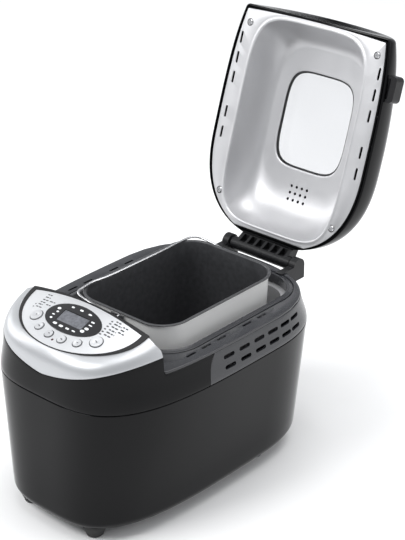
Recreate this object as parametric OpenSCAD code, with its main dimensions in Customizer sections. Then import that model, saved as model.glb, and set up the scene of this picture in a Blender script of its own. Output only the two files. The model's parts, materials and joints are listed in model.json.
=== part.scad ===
// Two-paddle bread machine, shown with its lid open.
// Millimetres. +Z is up, the front (control panel) faces -Y, and the origin
// is on the supporting surface, under the middle of the body.

/* [Body] */
// Half width of the body at the seam
body_half_w = 135.6; // [132:0.2:138]
// Front end of the body at the seam
body_front = -205; // [-208:1:-203]
// Rear end of the body at the seam
body_rear = 194; // [192:1:198]
// Height of the seam between lower and upper housing
seam_z = 184; // [180:1:186]
// Height of the deck's upper face
deck_z = 223.5; // [223:0.1:224]
// Thickness of the moulded housings
wall = 2.6; // [2:0.1:3]
// Height of the rubber feet
foot_h = 14.5; // [12:0.5:16]

/* [Control panel] */
// Forward tilt of the panel, degrees
panel_tilt = 20; // [18:1:21]
// Radius of the panel's crown from side to side
panel_r = 500; // [460:10:560]
// Travel of the buttons
button_travel = 1.2; // [0.6:0.1:1.4]

/* [Lid] */
// Angle between the closed lid and the open lid, degrees
lid_open = 108; // [100:1:110]
// Height of the lid's crown above its rim
lid_crown = 64; // [60:1:66]
// Depth of the pressed recess in the lid liner
recess_depth = 47; // [44:1:48]

/* [Pan and drive] */
// Distance between the two kneading shafts
shaft_gap = 110; // [104:1:112]
// Height of the pan from its floor to its rim
pan_h = 140; // [138:1:146]
// Diameter of the kneading shafts
shaft_d = 8; // [7:0.5:9]
// Diameter of the large drive pulley
big_pulley_d = 90; // [80:1:94]
// Diameter of the motor pulley
small_pulley_d = 18; // [16:1:20]

/* [Hidden] */
$fn = 48;

eps = 0.05;
gap = 0.3;                       // clearance between neighbouring mouldings

// Plan outline of the body
outline_n = 72;                  // corners of an outline ring
mid_y = 60;                      // widest place of the plan
front_n = 3.5;                   // squareness of the front half
rear_n = 2.7;                    // squareness of the rear half
bottom_z = foot_h;
bottom_r = 15;                   // rounding of the bottom edge
split_y = -118;                  // the lid meets the panel housing here

half_w_at = [[0, body_half_w - 21.8], [seam_z, body_half_w],
    [seam_z + 20, body_half_w - 2.6], [deck_z, body_half_w - 7.1],
    [262, body_half_w - 8]];
front_at = [[0, body_front], [seam_z, body_front],
    [seam_z + 20, body_front + 1], [deck_z, body_front + 2.5],
    [250, body_front + 5]];
rear_at = [[0, body_rear - 4], [seam_z, body_rear],
    [seam_z + 20, body_rear - 5], [deck_z, body_rear - 13],
    [262, body_rear - 13]];

// Panel surface
panel_y = -147;
panel_z = 262;
plate_a = 88;                    // half width of the control plate
plate_b = 66;
plate_v = 20;                    // where the plate is widest
frame_a = 96;
frame_b = 72.5;
frame_v = 25;
display_a = 42.7;
display_b = 22.1;
big_key_r = 7.6;
small_key_r = 5.3;
keys = [                         // across, up the slope, radius
    [-50, -13.2, big_key_r], [-31.5, -26.3, small_key_r],
    [-10.5, -31, small_key_r], [10.5, -31, small_key_r],
    [31.5, -26.3, small_key_r], [50, -13.2, big_key_r]
];

// Bezel
lip_z = 214;                     // lowest point of the bezel's lower edge
lip_rise = 29;
lip_x = 118;                     // half width of the bezel at its rear ends

// Lid
rim_z = deck_z + 3.5;            // underside of the closed lid
hinge_y = 201;
hinge_z = 223;
lid_front = -115.5;
lid_rear = 184;
lid_front_h = 45;
lid_half = 128.2;                // half width of the lid at its widest
lid_front_reach = 262.5;         // the lid's outline, from its widest place
lid_rear_reach = 127.5;
arch_n = 2.8;                    // squareness of the arch at the front
arch_n_at = [[lid_front, arch_n], [-40, 3.4], [30, 3.6]];
lid_wall = 2.5;
flange_t = 1;
ceiling_z = rim_z + recess_depth;

// Chamber and pan
pan_y = 35;
shaft_ys = [pan_y - shaft_gap / 2, pan_y + shaft_gap / 2];
chamber_hx = 93;
chamber_y0 = -85;
chamber_y1 = 152;
chamber_floor = 80;
chamber_top = deck_z - 12.2;
pan_floor = 105;
pan_rim = pan_floor + pan_h;
bail_z = pan_rim - 8;
bail_r = 72;
bail_half = 113;                 // pivot distance from the pan's middle

// Drive
plate_z = 58;
belt_z = 42;
belt_w = 10;
cross_z = 28;
cross_d = 36;
motor_y = -140;

// ---- helpers ----------------------------------------------------------

// Point of the body's outline at height z, in direction t, set in by inset
function outline_at(z, inset, t) =
    let (a = lookup(z, half_w_at) - inset,
         n = sin(t) < 0 ? front_n : rear_n,
         b = sin(t) < 0 ? mid_y - lookup(z, front_at) - inset
                        : lookup(z, rear_at) - inset - mid_y,
         r = pow(pow(abs(cos(t)) / a, n) + pow(abs(sin(t)) / b, n), -1 / n))
    [r * cos(t), mid_y + r * sin(t)];

function ring(z, inset, level) =
    [for (i = [0:outline_n - 1])
        let (p = outline_at(z, inset, 360 * i / outline_n))
        [p[0], p[1], level]];

function flat_ring(z, inset) =
    [for (i = [0:outline_n - 1]) outline_at(z, inset, 360 * i / outline_n)];

// Front wall's y at a given x and height
function front_y(x, z) =
    let (a = lookup(z, half_w_at), b = mid_y - lookup(z, front_at))
    mid_y - b * pow(1 - pow(min(abs(x) / a, 1), front_n), 1 / front_n);

// Superellipse ring round [0, cy]
function oval_ring(a, b, n, cy, level, count = outline_n) =
    [for (i = [0:count - 1])
        let (t = 360 * i / count,
             r = pow(pow(abs(cos(t)) / a, n) + pow(abs(sin(t)) / b, n), -1 / n))
        [r * cos(t), cy + r * sin(t), level]];

function flat(points) = [for (p = points) [p[0], p[1]]];

// Closed skin round rings that run up the outside and down the inside
module ring_solid(rings) {
    n = len(rings[0]);
    m = len(rings);
    polyhedron(
        points = [for (r = rings) each r],
        faces = [for (i = [0:m - 1]) for (j = [0:n - 1])
            let (k = (i + 1) % m, l = (j + 1) % n)
            each [[i * n + l, i * n + j, k * n + j],
                  [i * n + l, k * n + j, k * n + l]]]);
}

// Skin through open-ended sections whose second half mirrors the first
module section_solid(sections) {
    n = len(sections[0]);
    m = len(sections);
    last = (m - 1) * n;
    polyhedron(
        points = [for (s = sections) each s],
        faces = concat(
            [for (i = [0:m - 2]) for (j = [0:n - 1])
                let (k = i + 1, l = (j + 1) % n)
                each [[i * n + j, i * n + l, k * n + l],
                      [i * n + j, k * n + l, k * n + j]]],
            [for (j = [0:n / 2 - 2])
                each [[j, n - 1 - j, n - 2 - j], [j, n - 2 - j, j + 1]]],
            [for (j = [0:n / 2 - 2])
                each [[last + j, last + n - 2 - j, last + n - 1 - j],
                      [last + j, last + j + 1, last + n - 2 - j]]]));
}

// Skin through rings with flat ends
module ring_stack(rings) {
    n = len(rings[0]);
    m = len(rings);
    polyhedron(
        points = [for (r = rings) each r],
        faces = concat(
            [for (i = [0:m - 2]) for (j = [0:n - 1])
                let (k = i + 1, l = (j + 1) % n)
                each [[i * n + l, i * n + j, k * n + j],
                      [i * n + l, k * n + j, k * n + l]]],
            [[for (j = [0:n - 1]) j]],
            [[for (j = [n - 1:-1:0]) (m - 1) * n + j]]));
}

module rounded(hx, y0, y1, r) {
    translate([-hx, y0 + r]) square([2 * hx, y1 - y0 - 2 * r]);
    translate([-hx + r, y0]) square([2 * (hx - r), y1 - y0]);
    for (x = [-hx + r, hx - r], y = [y0 + r, y1 - r])
        translate([x, y]) circle(r);
}

module slot_2d(length, width) {
    square([length - width, width], center = true);
    for (s = [-1, 1]) translate([s * (length - width) / 2, 0])
        circle(d = width);
}

feet = [[54.5, -176, 1], [85, 85, 1], [80, 133, 0.65]];

module at_shafts() {
    for (y = shaft_ys) translate([0, y, 0]) children();
}

// ---- lower body -------------------------------------------------------

module rubber_feet() {
    color("#1b1b1c") difference() {
        for (f = feet, s = [-1, 1]) translate([s * f[0], f[1], 0])
            scale([f[2], f[2], 1]) difference() {
                rotate_extrude() polygon([
                    [0, 0], [8.5, 0], [10.5, 1.2], [15.5, foot_h],
                    [15.5, foot_h + 6], [0, foot_h + 6]]);
                translate([0, 0, -eps]) cylinder(d = 5, h = 6);
            }
        translate([0, 0, -gap]) ring_stack(concat(
            [for (t = turns) bottom_ring(t, bottom_r)],
            [ring(60, 0, 60)]));
    }
}

module base_plate() {
    color("#222326") difference() {
        translate([0, 0, bottom_z])
            linear_extrude(3) polygon(flat_ring(bottom_z, bottom_r + gap));
        for (x = [-60:20:60], y = [-60:40:60])
            translate([x, y, bottom_z + 1.5])
                linear_extrude(6, center = true) slot_2d(14, 4);
    }
}

function bottom_ring(t, r) =
    let (level = bottom_z + bottom_r - r * cos(t))
    ring(level, bottom_r - r * sin(t), level);

turns = [0, 18, 36, 54, 72, 90];

module lower_housing() {
    sides = [60, 110, 150, seam_z - 0.8];
    color("#141416") difference() {
        ring_solid(concat(
            [for (t = turns) bottom_ring(t, bottom_r)],
            [for (z = sides) ring(z, 0, z)],
            [for (i = [len(sides) - 1:-1:0])
                ring(sides[i], wall, sides[i])],
            [for (i = [5:-1:0]) bottom_ring(turns[i], bottom_r - wall)]));
        cord_gland_place() cylinder(d = 16.6, h = 40, center = true);
    }
}

gland_x = 30;
gland_z = 48;

module cord_gland_place() {
    translate([gland_x, 189.3, gland_z]) rotate([-90, 0, 0]) children();
}

module cord_gland() {
    color("#1d1d1f") cord_gland_place() difference() {
        union() {
            translate([0, 0, -8]) cylinder(d = 20, h = 2.8);
            translate([0, 0, -8]) cylinder(d = 16, h = 13);
            translate([0, 0, 1.6]) cylinder(d = 22, h = 3.4);
        }
        cylinder(d = 8, h = 60, center = true);
    }
}

// ---- upper body -------------------------------------------------------

module upper_tube() {
    levels = [seam_z, seam_z + 20, deck_z, 250];
    ring_solid(concat(
        [for (z = levels) ring(z, 0, z)],
        [for (i = [len(levels) - 1:-1:0]) ring(levels[i], wall, levels[i])]));
}

function lip_at(x) = lip_z + lip_rise * pow(abs(x) / lip_x, 1.35);

module above_lip() {
    rotate([90, 0, 0]) linear_extrude(600, center = true)
        polygon(concat(
            [for (x = [-160:8:160]) [x, lip_at(x)]],
            [[160, 300], [-160, 300]]));
}

housing_top = deck_z - 3.3;

// Side window that a vent grille fills, grown by g
module vent_field(side, g) {
    steps = [0:0.1:1];
    h = deck_z - seam_z;
    front = [for (s = steps)
        [-54 + 22 * (1 - sqrt(1 - s * s)) - g, seam_z - 1 + (h + 1) * s]];
    translate([side * 105, 0, 0]) rotate([90, 0, 90])
        linear_extrude(90, center = true)
            polygon(concat([[-54 - g, seam_z - 5]], front,
                [[158 + g, deck_z], [158 + g, seam_z - 5]]));
}

module upper_housing() {
    color("#141416") difference() {
        upper_tube();
        above_lip();
        translate([-200, split_y, housing_top]) cube([400, 400, 60]);
        vent_field(1, gap);
        vent_field(-1, gap);
    }
}

vent_ys = [-18, 10, 37.5, 63.5, 88, 110];

module vent_grille(side) {
    color("#4b4c50") difference() {
        intersection() {
            upper_tube();
            vent_field(side, 0);
        }
        translate([-200, -200, housing_top]) cube([400, 500, 60]);
        for (y = vent_ys, z = [196, 209])
            translate([side * 120, y, z]) rotate([90, 0, 90])
                linear_extrude(60, center = true) slot_2d(19, 5);
    }
}

module vent_grille_right() { vent_grille(1); }
module vent_grille_left() { vent_grille(-1); }

module chamber_mouth(g) {
    rounded(98 + g, -90 - g, 160 + g, 45 + g);
}

slot_ys = [-66.3, -39.2, -12.2, 34.9, 62.9];

module side_slots(x) {
    for (s = [-1, 1], y = slot_ys)
        translate([s * x, y]) rotate(90) slot_2d(16, 3.2);
}

module deck() {
    color("#47484c") {
        difference() {
            translate([0, 0, deck_z - 3]) linear_extrude(3) difference() {
                polygon(flat_ring(deck_z, 0));
                translate([-200, -300]) square([400, 300 + split_y + 0.4]);
                chamber_mouth(0);
                side_slots(113);
            }
            translate([0, 0, deck_z - 0.9]) linear_extrude(2) difference() {
                chamber_mouth(8.6);
                chamber_mouth(7.6);
            }
        }
        translate([0, 0, deck_z - 12]) linear_extrude(13.2) difference() {
            chamber_mouth(2.2);
            chamber_mouth(0);
        }
    }
}

// ---- control panel ----------------------------------------------------

module on_panel(u = 0, v = 0) {
    translate([0, panel_y, panel_z]) rotate([panel_tilt, 0, 0])
        translate([0, v, -panel_r]) rotate([0, asin(u / panel_r), 0])
            translate([0, 0, panel_r]) children();
}

module crown(h) {
    translate([0, 0, -panel_r]) rotate([90, 0, 0])
        cylinder(r = panel_r + h, h = 300, center = true, $fn = 360);
}

function panel_point(u, v) =
    let (drop = sqrt(panel_r * panel_r - u * u) - panel_r)
    [u, panel_y + v * cos(panel_tilt) - drop * sin(panel_tilt),
        panel_z + v * sin(panel_tilt) + drop * cos(panel_tilt)];

// Half ellipse in front, shallow arc behind
module plate_outline(g) {
    top_r = 620;
    reach = plate_v + 9 + g;
    intersection() {
        union() {
            polygon([for (t = [180:5:360])
                [(plate_a + g) * cos(t), plate_v + (plate_b + g) * sin(t)]]);
            translate([-plate_a - g, plate_v - eps])
                square([2 * (plate_a + g), 20]);
        }
        translate([0, reach - top_r]) circle(top_r, $fn = 360);
    }
}

module frame_outline() {
    polygon(concat(
        [for (t = [180:5:360])
            [frame_a * cos(t), frame_v + frame_b * sin(t)]],
        [[frame_a, frame_v + 20], [-frame_a, frame_v + 20]]));
}

// Lid and panel housing share this arch where they meet
function arch_h(x, w, h, n = arch_n) =
    h * pow(1 - pow(min(abs(x) / w, 1), n), 1 / n);

module rear_wall_outline() {
    w = lid_half_w(lid_front) - 3.2;
    polygon(concat(
        [for (i = [-20:20])
            let (x = w * sin(90 * i / 20))
            [x, rim_z + arch_h(x, w, lid_front_h - 3)]],
        [[w, 214], [-w, 214]]));
}

module panel_frame() {
    color("#1a1a1c") {
        difference() {
            on_panel() difference() {
                intersection() {
                    translate([0, 0, -20]) linear_extrude(40)
                        frame_outline();
                    crown(0.7);
                }
                crown(-4);
                difference() {
                    translate([0, 0, -20]) linear_extrude(40)
                        plate_outline(0.3);
                    crown(-1.3);
                }
                translate([0, 0, -20]) linear_extrude(40)
                    plate_outline(-3);
            }
            translate([-200, split_y - 0.2, 0]) cube([400, 200, 400]);
        }
        translate([0, split_y - 0.2, 0]) rotate([90, 0, 0])
            difference() {
                linear_extrude(2) rear_wall_outline();
                translate([-40, 214, -1]) cube([80, 4, 4]);
            }
    }
}

module control_plate() {
    color("#c9cbcd") on_panel() difference() {
        intersection() {
            translate([0, 0, -20]) linear_extrude(40) plate_outline(0);
            crown(0);
        }
        crown(-1.2);
        translate([0, 0, -20]) linear_extrude(40)
            scale([1, display_b / display_a]) circle(display_a + 0.2);
        for (k = keys) rotate_to_key(k)
            cylinder(r = k[2] + gap, h = 10, center = true);
        rotate_to_key([0, -36.2, 0]) cylinder(d = 3.3, h = 10, center = true);
    }
}

// Same as on_panel, but already in the panel's own frame
module rotate_to_key(k) {
    translate([0, k[1], -panel_r]) rotate([0, asin(k[0] / panel_r), 0])
        translate([0, 0, panel_r]) children();
}

module display_lens() {
    color("#0b0b0d") on_panel() difference() {
        intersection() {
            translate([0, 0, -20]) linear_extrude(40)
                scale([1, display_b / display_a]) circle(display_a - 0.1);
            crown(0.6);
        }
        crown(-1.6);
        translate([-20.5, -9, -30]) cube([41, 18, 60]);
    }
}

module lcd_module() {
    color("#6f757b") on_panel() {
        translate([-20, -8.5, -3]) cube([40, 17, 2.8]);
        translate([-24, -12, -12]) cube([48, 24, 9]);
    }
}

board_h = -14.4;

module status_light() {
    color("#7a1512") on_panel(0, -36.2) {
        translate([0, 0, board_h + gap]) cylinder(d = 3, h = -board_h - gap);
        translate([0, 0, board_h + gap]) cylinder(d = 4, h = 2);
    }
}

module control_board() {
    color("#1f5a36") on_panel() {
        translate([0, -11, board_h - 1.6]) linear_extrude(1.6) difference() {
            square([126, 60], center = true);
            for (x = [-58, 58], y = [-25, 25])
                translate([x, y]) circle(d = 3.2);
        }
        for (x = [-44, -34, 34, 44])
            translate([x, 12, board_h - eps]) cylinder(d = 5, h = 7);
        translate([-9, 12, board_h - 6]) cube([18, 7, 4.4 + eps]);
    }
}

module key_switches() {
    color("#2c2c2e") on_panel() for (k = keys) {
        drop = panel_r - sqrt(panel_r * panel_r - k[0] * k[0]);
        translate([k[0], k[1], board_h + gap]) {
            translate([-3, -3, 0]) cube([6, 6, 4 - drop]);
            cylinder(d = 3, h = 4.7 - drop);
        }
    }
}

module button(k) {
    color("#d4d6d8") on_panel(k[0], k[1]) {
        difference() {
            translate([0, 0, -2.6]) cylinder(r = k[2], h = 3.8);
            translate([0, 0, 30 + 0.95]) sphere(r = 30, $fn = 64);
        }
        translate([0, 0, -3.6]) cylinder(r = k[2] + 1.2, h = 1);
        translate([0, 0, -7.4]) cylinder(d = 4, h = 3.8 + eps);
    }
}

module button_program() { button(keys[0]); }
module button_weight() { button(keys[1]); }
module button_time_up() { button(keys[2]); }
module button_time_down() { button(keys[3]); }
module button_crust() { button(keys[4]); }
module button_start() { button(keys[5]); }

// One cross-section of the bezel, t from -1 (left end) to 1 (right end)
function bezel_section(t) =
    let (s = sin(90 * t),
         lx = lip_x * s,
         lz = lip_at(lx) + gap,
         low = [lx, front_y(lx, lz), lz],
         u = (frame_a + 0.3) * s,
         v = frame_v - (frame_b + 0.3) * cos(90 * t),
         high = panel_point(u, v) + [0, 0, 0.5],
         out = low - [0, -60, low[2]],
         n0 = out / norm(out),
         n = [n0[0] * 0.82, n0[1] * 0.82, 0.57],
         steps = [0:0.2:1])
    concat(
        [for (w = steps)
            low + (high - low) * w + n * 4.5 * sin(180 * w)],
        [high - [0, 0, 2.2]],
        [for (w = [0.8:-0.2:0])
            low + (high - low) * w + n * (4.5 * sin(180 * w) - 2.2)
                + [0, 0, w < 0.1 ? 1.5 : 0]]);

module silver_bezel() {
    count = 18;
    color("#d9dbdd") difference() {
        section_solid([for (i = [-count:count]) bezel_section(i / count)]);
        translate([-200, split_y - 0.2, 0]) cube([400, 200, 400]);
    }
}

// ---- chamber ----------------------------------------------------------

module chamber_liner() {
    t = 0.8;
    color("#b9bbbd") difference() {
        union() {
            translate([0, 0, chamber_floor])
                linear_extrude(chamber_top - chamber_floor)
                    rounded(chamber_hx, chamber_y0, chamber_y1, 40);
            translate([0, 0, chamber_top - 1]) linear_extrude(1)
                chamber_mouth(2.2);
        }
        translate([0, 0, chamber_floor + t]) linear_extrude(200)
            rounded(chamber_hx - t, chamber_y0 + t, chamber_y1 - t, 40 - t);
        at_shafts() cylinder(d = 16, h = 200, center = true);
        for (x = [-14, 14]) translate([x, chamber_y0, 100])
            rotate([90, 0, 0]) cylinder(d = 10, h = 20, center = true);
        translate([50, chamber_y0, 130]) rotate([90, 0, 0])
            cylinder(d = 7, h = 20, center = true);
    }
}

heater_d = 6.5;

module heater_arc(x, y, from) {
    translate([x, y, 100]) rotate([0, 0, from])
        rotate_extrude(angle = 90) translate([30, 0]) circle(d = heater_d);
}

module heater_run(from, to) {
    d = to - from;
    translate(from) rotate([0, 90, atan2(d[1], d[0])])
        cylinder(d = heater_d, h = norm(d));
}

module heating_element() {
    hx = 84;
    y0 = -77;
    y1 = 145;
    color("#3a3a3c") {
        heater_arc(hx - 30, y1 - 30, 0);
        heater_arc(-hx + 30, y1 - 30, 90);
        heater_arc(-hx + 30, y0 + 30, 180);
        heater_arc(hx - 30, y0 + 30, 270);
        for (s = [-1, 1]) {
            heater_run([s * hx, y0 + 30, 100], [s * hx, y1 - 30, 100]);
            heater_run([s * 14, y0, 100], [s * (hx - 30), y0, 100]);
            translate([s * 14, y0, 100]) sphere(d = heater_d);
            heater_run([s * 14, y0, 100], [s * 14, -99, 100]);
        }
        heater_run([-hx + 30, y1, 100], [hx - 30, y1, 100]);
    }
}

module heater_bushes() {
    color("#e8e4d8") for (x = [-14, 14])
        translate([x, chamber_y0 + 1, 100]) rotate([90, 0, 0])
            difference() {
                union() {
                    cylinder(d = 9.6, h = 9);
                    translate([0, 0, 1.6]) cylinder(d = 14, h = 3);
                }
                translate([0, 0, -1]) cylinder(d = heater_d + 0.2, h = 12);
            }
}

module temperature_sensor() {
    color("#c7c9cb") translate([50, chamber_y0, 130]) rotate([90, 0, 0]) {
        translate([0, 0, -6]) cylinder(d = 6, h = 14);
        translate([0, 0, 0.3]) cylinder(d = 12, h = 1.5);
    }
}

module thermal_fuse() {
    color("#a9885a") translate([-50, chamber_y0 - 3.2, 130])
        rotate([0, 90, 0]) {
            cylinder(d = 5, h = 16, center = true);
            cylinder(d = 1.2, h = 30, center = true);
        }
}

seat_z = chamber_floor + 4.5;

module pan_seat() {
    color("#8f9295") difference() {
        union() {
            translate([0, 0, chamber_floor + 1.1]) linear_extrude(1.2)
                rounded(58, pan_y - 104, pan_y + 104, 14);
            translate([0, 0, chamber_floor + 1.1]) linear_extrude(11)
                difference() {
                    rounded(53, pan_y - 99, pan_y + 99, 24);
                    rounded(51.6, pan_y - 97.6, pan_y + 97.6, 22.6);
                }
            for (x = [-42, 42], y = [pan_y - 80, pan_y + 80])
                translate([x, y, chamber_floor + 2.2])
                    cylinder(d = 14, h = seat_z - chamber_floor - 2.2);
        }
        at_shafts() cylinder(d = 34, h = 400, center = true);
    }
}

// ---- chassis and drive ------------------------------------------------

leg_places = [[-66, -150], [66, -150], [-71, -65], [71, -65],
    [-70, 132], [70, 132]];

module chassis_frame() {
    color("#9a9da0") difference() {
        union() {
            translate([0, 0, plate_z]) linear_extrude(3)
                rounded(80, -178, 148, 14);
            for (p = leg_places) translate([p[0], p[1], bottom_z + 3.2])
                cylinder(d = 12, h = plate_z - bottom_z - 3);
        }
        at_shafts() cylinder(d = 16, h = 200, center = true);
        translate([0, motor_y, 0]) cylinder(d = 14, h = 200, center = true);
        for (p = leg_places) translate([p[0], p[1], plate_z - 20])
            cylinder(d = 3.4, h = 30);
        for (p = spacer_places) translate([p[0], p[1], plate_z - 5])
            cylinder(d = 3.4, h = 12);
    }
}

spacer_places = [[-62, -60], [62, -60], [-62, 122], [62, 122]];

module chamber_spacers() {
    color("#d8d2c2") for (p = spacer_places)
        translate([p[0], p[1], plate_z + 3.1]) difference() {
            cylinder(d = 10, h = chamber_floor - plate_z - 3.3);
            translate([0, 0, -1]) cylinder(d = 4, h = 30);
        }
}

module chassis_screws() {
    color("#b5b7ba") for (p = leg_places)
        translate([p[0], p[1], plate_z + 3.1]) {
            cylinder(d1 = 7.5, d2 = 5, h = 2.4);
            translate([0, 0, -14]) cylinder(d = 3.2, h = 14 + eps);
        }
}

module shaft_bushes() {
    color("#b08d57") at_shafts() translate([0, 0, plate_z - 3])
        difference() {
            union() {
                cylinder(d = 15.8, h = 18);
                translate([0, 0, 6.2]) cylinder(d = 22, h = 2.5);
            }
            translate([0, 0, -1]) cylinder(d = shaft_d + 2.1, h = 30);
        }
}

module motor_body() {
    color("#7d8084") translate([0, motor_y, plate_z + 3.4]) difference() {
        union() {
            cylinder(d = 62, h = 44);
            translate([0, 0, 44 - eps]) cylinder(d = 24, h = 7);
            for (a = [45:90:315]) rotate(a) translate([0, -6, 0])
                cube([37, 12, 2.5]);
        }
        translate([0, 0, -1]) cylinder(d = 9, h = 24);
        for (a = [0:30:330]) rotate(a) translate([31.5, 0, 24])
            cube([6, 4, 26], center = true);
    }
}

module pulley(d, z, h, bore_d) {
    difference() {
        union() {
            translate([0, 0, z]) cylinder(d = d, h = h);
            for (k = [z - 1.5, z + h])
                translate([0, 0, k]) cylinder(d = d + 6, h = 1.5);
        }
        cylinder(d = bore_d, h = 300, center = true);
    }
}

module motor_pulley() {
    color("#c2c4c6") translate([0, motor_y, 0]) {
        pulley(small_pulley_d, belt_z, belt_w, 7);
        translate([0, 0, belt_z - 3]) cylinder(d = 7, h = 41);
    }
}

module drive_shaft(y) {
    color("#a4a7aa") translate([0, y, 0]) {
        translate([0, 0, cross_z - 4])
            cylinder(d = shaft_d + 2, h = 84 - cross_z + 4);
        pulley(cross_d, cross_z, belt_w, shaft_d + 1);
        translate([0, 0, 84 - eps]) cylinder(d = 26, h = 3);
        for (s = [-1, 1]) translate([s * 7.5 - 2.5, s * 6 - 2, 86.5])
            cube([5, 4, 9]);
    }
}

module front_drive_shaft() {
    drive_shaft(shaft_ys[0]);
    color("#2e2f31") translate([0, shaft_ys[0], 0]) difference() {
        pulley(big_pulley_d, belt_z, belt_w, shaft_d + 1);
        for (a = [0:60:300]) rotate(a) translate([26, 0, belt_z + 5])
            cylinder(d = 16, h = 30, center = true);
    }
}

module rear_drive_shaft() { drive_shaft(shaft_ys[1]); }

// Outline round two pulleys that stand on the centre plane
function belt_outline(ya, ra, yb, rb) =
    let (lean = asin((rb - ra) / (yb - ya)), steps = 16)
    concat(
        [for (i = [0:steps])
            let (t = 180 + lean + (180 - 2 * lean) * i / steps)
            [ra * cos(t), ya + ra * sin(t)]],
        [for (i = [0:steps])
            let (t = -lean + (180 + 2 * lean) * i / steps)
            [rb * cos(t), yb + rb * sin(t)]]);

belt_gap = 0.6;
belt_t = 1.4;

module belt(ya, ra, yb, rb, z) {
    outer = belt_gap + belt_t;
    translate([0, 0, z + 0.4]) linear_extrude(belt_w - 0.8) difference() {
        polygon(belt_outline(ya, ra + outer, yb, rb + outer));
        polygon(belt_outline(ya, ra + belt_gap, yb, rb + belt_gap));
    }
}

module motor_belt() {
    color("#151515") belt(motor_y, small_pulley_d / 2,
        shaft_ys[0], big_pulley_d / 2, belt_z);
}

module cross_belt() {
    color("#151515") belt(shaft_ys[0], cross_d / 2,
        shaft_ys[1], cross_d / 2, cross_z);
}

module motor_capacitor() {
    color("#d9d9d4") translate([66, -118, plate_z + 3.2]) {
        cylinder(d = 28, h = 44);
        for (x = [-5, 5]) translate([x - 3, -0.4, 44 - eps])
            cube([6, 0.8, 8]);
    }
}

module power_board() {
    color("#3c6b45") translate([-78, -150, plate_z + 9]) {
        cube([38, 62, 1.6]);
        translate([4, 6, 1.6 - eps]) cube([26, 22, 24]);
        translate([5, 34, 1.6 - eps]) cube([16, 19, 15]);
        translate([30, 44, 1.6 - eps]) cylinder(d = 10, h = 18);
        for (x = [4, 34], y = [4, 58]) translate([x, y, -5.7])
            cylinder(d = 5, h = 5.7 + eps);
    }
}

// ---- pan --------------------------------------------------------------

module pan_form(hx, hy, r, z0, z1, flare) {
    hull() {
        translate([0, 0, z0]) linear_extrude(eps)
            rounded(hx, pan_y - hy, pan_y + hy, r);
        translate([0, 0, z1 - eps]) linear_extrude(eps)
            rounded(hx + flare, pan_y - hy - flare, pan_y + hy + flare,
                r + flare);
    }
}

module bread_pan() {
    color("#b8babc") difference() {
        union() {
            pan_form(72, 102, 30, pan_floor, pan_rim, 5, $fn = 32);
            translate([0, 0, pan_rim - 2.5]) linear_extrude(2.5)
                rounded(80, pan_y - 110, pan_y + 110, 37);
        }
        pan_form(70.5, 100.5, 28.5, pan_floor + 1.5, pan_rim + 3, 5.1,
            $fn = 32);
        at_shafts() cylinder(d = shaft_d + 0.1, h = 260, center = true);
    }
}

module pan_foot() {
    color("#8a8d90") difference() {
        union() {
            translate([0, 0, seat_z + gap])
                linear_extrude(pan_floor - seat_z - 2 * gap) difference() {
                    rounded(50, pan_y - 96, pan_y + 96, 21);
                    rounded(48.5, pan_y - 94.5, pan_y + 94.5, 19.5);
                }
            translate([0, 0, pan_floor - 3]) linear_extrude(2.7)
                rounded(49, pan_y - 95, pan_y + 95, 20);
            at_shafts() translate([0, 0, pan_floor - 5.5])
                cylinder(d = 26, h = 5);
        }
        at_shafts() cylinder(d = shaft_d + 0.1, h = 260, center = true);
    }
}

module bail_ears() {
    color("#c9cbcd") for (s = [-1, 1])
        translate([0, pan_y + s * (bail_half - 5.8), bail_z])
            rotate([-90 * s, 0, 0]) difference() {
                union() {
                    cylinder(d = 9.6, h = 1.6);
                    translate([-11, -3, 0]) cube([22, 6, 1.6]);
                }
                translate([0, 0, -1]) cylinder(d = bail_d + 0.1, h = 5);
            }
}

bail_d = 3;
bail_tilt = 8;                   // the bail leans on the left rim

module bail_handle() {
    r = 14;
    reach = bail_r - r;
    side = bail_half - r;
    color("#c4c6c8") translate([0, pan_y, bail_z])
        rotate([0, bail_tilt, 0]) {
            for (s = [-1, 1]) {
                translate([0, s * bail_half, 0]) rotate([0, -90, 0])
                    cylinder(d = bail_d, h = reach);
                translate([0, s * bail_half, 0]) sphere(d = bail_d);
                translate([0, s * bail_half, 0]) rotate([90 * s, 0, 0])
                    cylinder(d = bail_d, h = 5.5);
                translate([-reach, s * side, 0]) rotate([0, 0, s > 0 ? 90 : 180])
                    rotate_extrude(angle = 90) translate([r, 0])
                        circle(d = bail_d);
            }
            translate([-bail_r, -side, 0]) rotate([-90, 0, 0])
                cylinder(d = bail_d, h = 2 * side);
        }
}

module pan_shaft(y) {
    color("#a4a7aa") translate([0, y, 0]) {
        translate([0, 0, 90]) cylinder(d = shaft_d, h = 44);
        translate([0, 0, 88.5]) cylinder(d = 11, h = 9.5);
        translate([-10.5, -3, 88.5]) cube([21, 6, 8]);
    }
}

module front_pan_shaft() { pan_shaft(shaft_ys[0]); }
module rear_pan_shaft() { pan_shaft(shaft_ys[1]); }

module paddle(y) {
    color("#3d3e41") translate([0, y, pan_floor + 2]) difference() {
        union() {
            cylinder(d = 17, h = 30);
            translate([0, 0, 30 - eps]) cylinder(d1 = 17, d2 = 11, h = 4);
            rotate([90, 0, 0]) linear_extrude(5, center = true)
                polygon([[0, 0], [-40, 0], [-43, 4], [-40, 16],
                    [-28, 24], [-8, 27], [0, 27]]);
        }
        translate([0, 0, -1]) cylinder(d = shaft_d + 0.4, h = 29);
    }
}

module front_paddle() { paddle(shaft_ys[0]); }
module rear_paddle() { paddle(shaft_ys[1]); }

// ---- lid: drawn closed, then swung open about the hinge ---------------

module opened() {
    translate([0, hinge_y, hinge_z]) rotate([-lid_open, 0, 0])
        translate([0, -hinge_y, -hinge_z]) children();
}

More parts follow.
